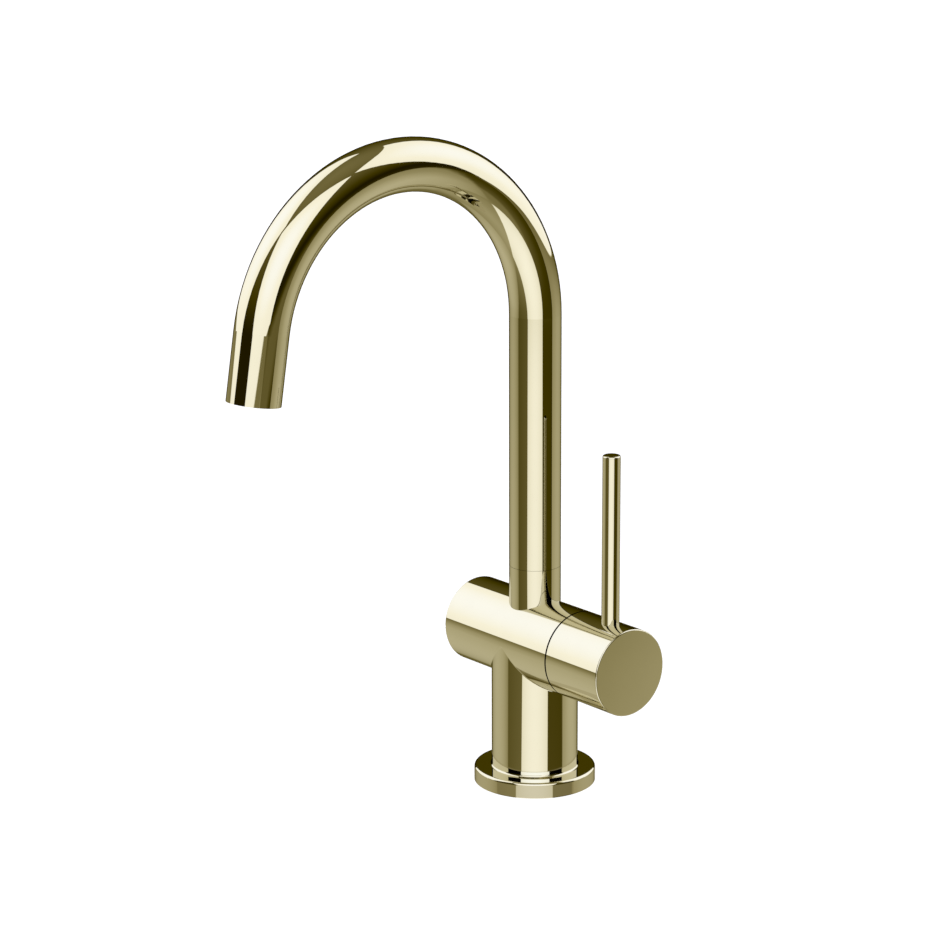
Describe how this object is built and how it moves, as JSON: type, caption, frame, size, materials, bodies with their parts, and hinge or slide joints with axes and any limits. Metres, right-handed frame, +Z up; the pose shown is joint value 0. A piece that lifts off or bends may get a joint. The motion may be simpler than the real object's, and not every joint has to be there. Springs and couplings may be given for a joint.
{
  "type": "bathroom mixer faucet",
  "caption": "Deck-mounted washbasin mixer in polished pale gold: round column, crossways barrel with a turning pin-lever end, and a swivelling gooseneck spout.",
  "frame": {"origin": "centre of the deck flange's underside, on the deck", "axes": "+Z up along the column, +X along the barrel towards the handle end, -Y towards the spout's outlet"},
  "size_m": [0.097, 0.1748, 0.3321],
  "materials": {
    "polished_gold": "mirror-polished pale gold coating on brass",
    "raw_brass": "turned brass",
    "plated_steel": "zinc plated",
    "stainless_steel": "turned stainless steel",
    "black_rubber": "moulded matt rubber",
    "black_acetal": "moulded acetal",
    "white_acetal": "moulded acetal",
    "ceramic": "lapped alumina",
    "grey_acetal": "moulded acetal"
  },
  "bodies": {
    "body": {"base_flange": "polished_gold", "body_casting": "polished_gold", "cartridge_base": "white_acetal", "cartridge_housing": "white_acetal", "cartridge_nut": "raw_brass", "fixed_disc": "ceramic", "flange_gasket": "black_rubber", "flange_o_ring": "black_rubber", "handle_glide_ring": "black_acetal", "horseshoe_gasket": "black_rubber", "horseshoe_plate": "plated_steel", "inlet_seals": "black_rubber", "mounting_nut": "plated_steel", "mounting_stud": "plated_steel", "spout_nipple": "raw_brass", "spout_o_rings": "black_rubber", "spout_retaining_ring": "stainless_steel", "swivel_bush": "black_acetal", "swivel_stop_pin": "stainless_steel"},
    "handle": {"handle_cap": "polished_gold", "lever_rod": "polished_gold", "handle_grub_screw": "stainless_steel", "grub_screw_plug": "grey_acetal", "cartridge_spindle": "raw_brass", "moving_disc": "ceramic", "spindle_o_ring": "black_rubber"},
    "spout": {"spout_tube": "polished_gold", "spout_socket": "raw_brass", "aerator_housing": "white_acetal", "aerator_screen": "grey_acetal", "aerator_insert": "grey_acetal", "aerator_seal": "black_rubber"}
  },
  "joints": [
    {"name": "handle_turn", "type": "hinge", "parent": "body", "child": "handle", "pos_m": [0, 0, 0.0614], "axis": [1, 0, 0], "range_deg": [0, 90]},
    {"name": "spout_swivel", "type": "hinge", "parent": "body", "child": "spout", "pos_m": [0, 0, 0.0934], "axis": [0, 0, 1], "range_deg": [-75, 75]}
  ]
}
